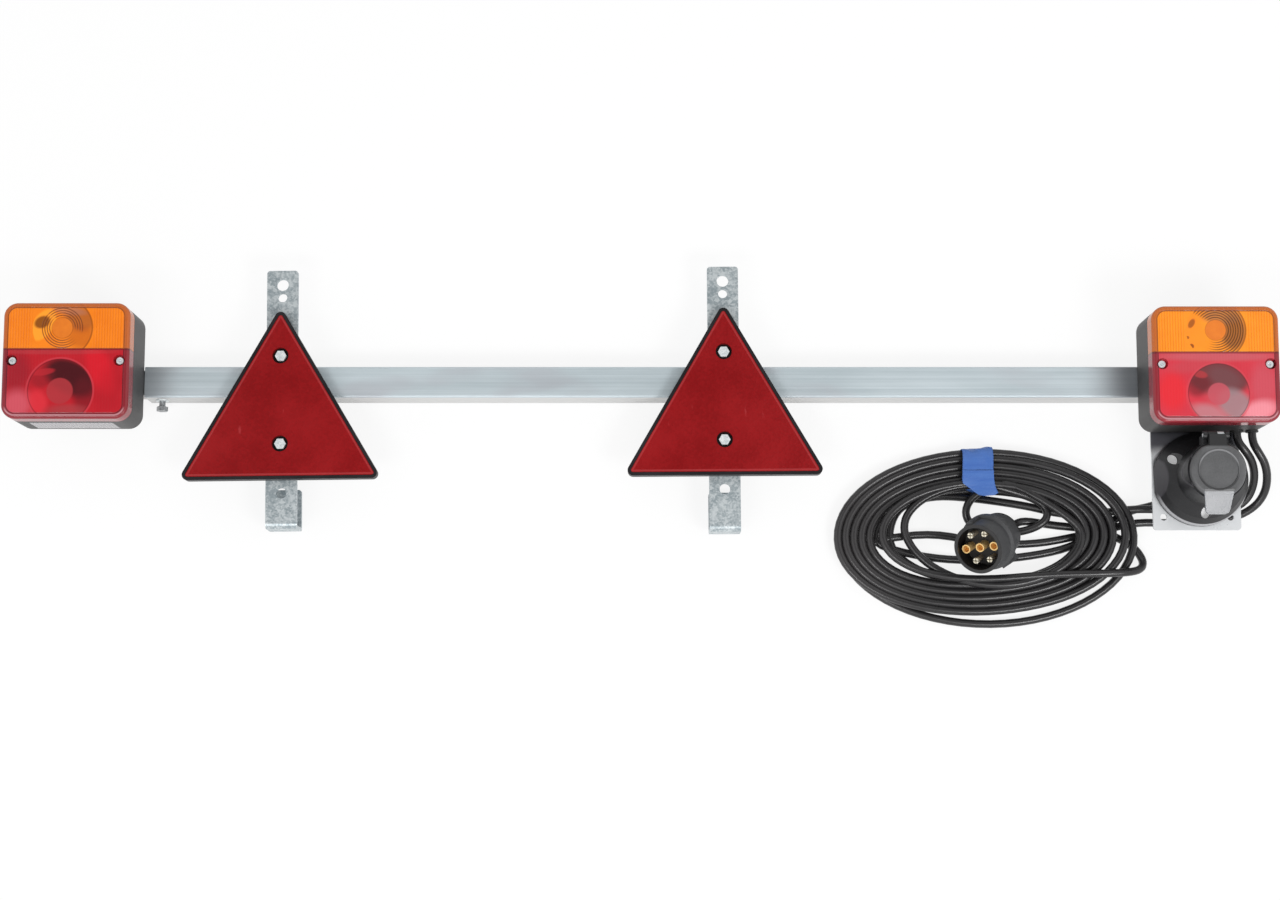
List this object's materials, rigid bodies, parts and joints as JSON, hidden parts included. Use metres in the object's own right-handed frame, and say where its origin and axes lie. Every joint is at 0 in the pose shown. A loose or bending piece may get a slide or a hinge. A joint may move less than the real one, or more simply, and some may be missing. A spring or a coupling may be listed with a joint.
{
  "type": "trailer lighting board",
  "caption": "Telescopic square bar with a combination lamp at each end, triangular reflectors on hook-on brackets, a sprung-lid socket and a coiled lead with plug.",
  "frame": {"origin": "on the floor under the middle of the board without its lead, as it lies on its back", "axes": "+X along the bar towards the lamp with the socket, +Y up the board as it hangs, +Z out of its front"},
  "size_m": [1.0017, 0.2921, 0.0815],
  "materials": {
    "aluminium": "mill finish, drawn along its length",
    "black_plastic": "fine matt moulding",
    "plug_plastic": "fine matt moulding",
    "zinc_steel": "hot-dip zinc, spangled",
    "zinc_hardware": "bright zinc plate",
    "plate_steel": "bright zinc plate",
    "amber_lens": "clear amber moulding, fluted inside",
    "red_lens": "clear red moulding, fluted inside",
    "reflector_red": "prismatic reflector",
    "clear_plastic": "clear moulding",
    "bulb_glass": "clear glass",
    "rubber": "soft matt",
    "brass": "bare brass",
    "cable_jacket": "smooth satin jacket",
    "blue_tape": "satin tape"
  },
  "bodies": {
    "board": {"cable_coil": "cable_jacket", "clamp_bolt": "zinc_hardware", "clamp_insert": "zinc_hardware", "coil_inner_strands": "cable_jacket", "coil_tape": "blue_tape", "left_bracket_bolts": "zinc_hardware", "left_bracket_clamp_strap": "zinc_steel", "left_bracket_nuts": "zinc_hardware", "left_bracket_strip": "zinc_steel", "left_reflector_carrier": "black_plastic", "left_reflector_lens": "reflector_red", "link_cable_lead": "cable_jacket", "main_cable_lead": "cable_jacket", "main_cable_tail": "cable_jacket", "outer_tube": "aluminium", "outer_tube_cap": "black_plastic", "plate_grommet": "rubber", "plug_contacts": "brass", "plug_gland": "plug_plastic", "plug_housing": "plug_plastic", "plug_insert": "black_plastic", "right_bracket_bolts": "zinc_hardware", "right_bracket_clamp_strap": "zinc_steel", "right_bracket_nuts": "zinc_hardware", "right_bracket_strip": "zinc_steel", "right_lamp_amber_lens": "amber_lens", "right_lamp_base": "black_plastic", "right_lamp_bulb_holders": "black_plastic", "right_lamp_cable_grommets": "rubber", "right_lamp_fixing_screws": "zinc_hardware", "right_lamp_indicator_bulb": "bulb_glass", "right_lamp_lens_screws": "zinc_hardware", "right_lamp_red_lens": "red_lens", "right_lamp_seal": "rubber", "right_lamp_tail_bulb": "bulb_glass", "right_reflector_carrier": "black_plastic", "right_reflector_lens": "reflector_red", "socket_body": "black_plastic", "socket_cable_lead": "cable_jacket", "socket_contacts": "brass", "socket_gasket": "rubber", "socket_insert": "black_plastic", "socket_lid_pin": "zinc_hardware", "socket_lid_spring": "zinc_hardware", "socket_plate": "plate_steel", "socket_screws": "zinc_hardware"},
    "left_arm": {"left_lamp_amber_lens": "amber_lens", "left_lamp_base": "black_plastic", "left_lamp_bulb_holders": "black_plastic", "left_lamp_fixing_screws": "zinc_hardware", "left_lamp_indicator_bulb": "bulb_glass", "left_lamp_lens_screws": "zinc_hardware", "left_lamp_plate_window": "clear_plastic", "left_lamp_red_lens": "red_lens", "left_lamp_seal": "rubber", "left_lamp_tail_bulb": "bulb_glass", "sliding_arm": "aluminium", "sliding_arm_cap": "black_plastic"},
    "lid": {"socket_lid": "black_plastic"}
  },
  "joints": [
    {"name": "arm_slide", "type": "slide", "parent": "board", "child": "left_arm", "axis": [-1, 0, 0], "range_m": [0, 0.4]},
    {"name": "lid_hinge", "type": "hinge", "parent": "board", "child": "lid", "pos_m": [0.446, -0.03835, 0.0745], "axis": [-1, 0, 0], "range_deg": [0, 95], "stiffness_Nm_per_rad": 0.02, "springref_deg": -45.84}
  ]
}
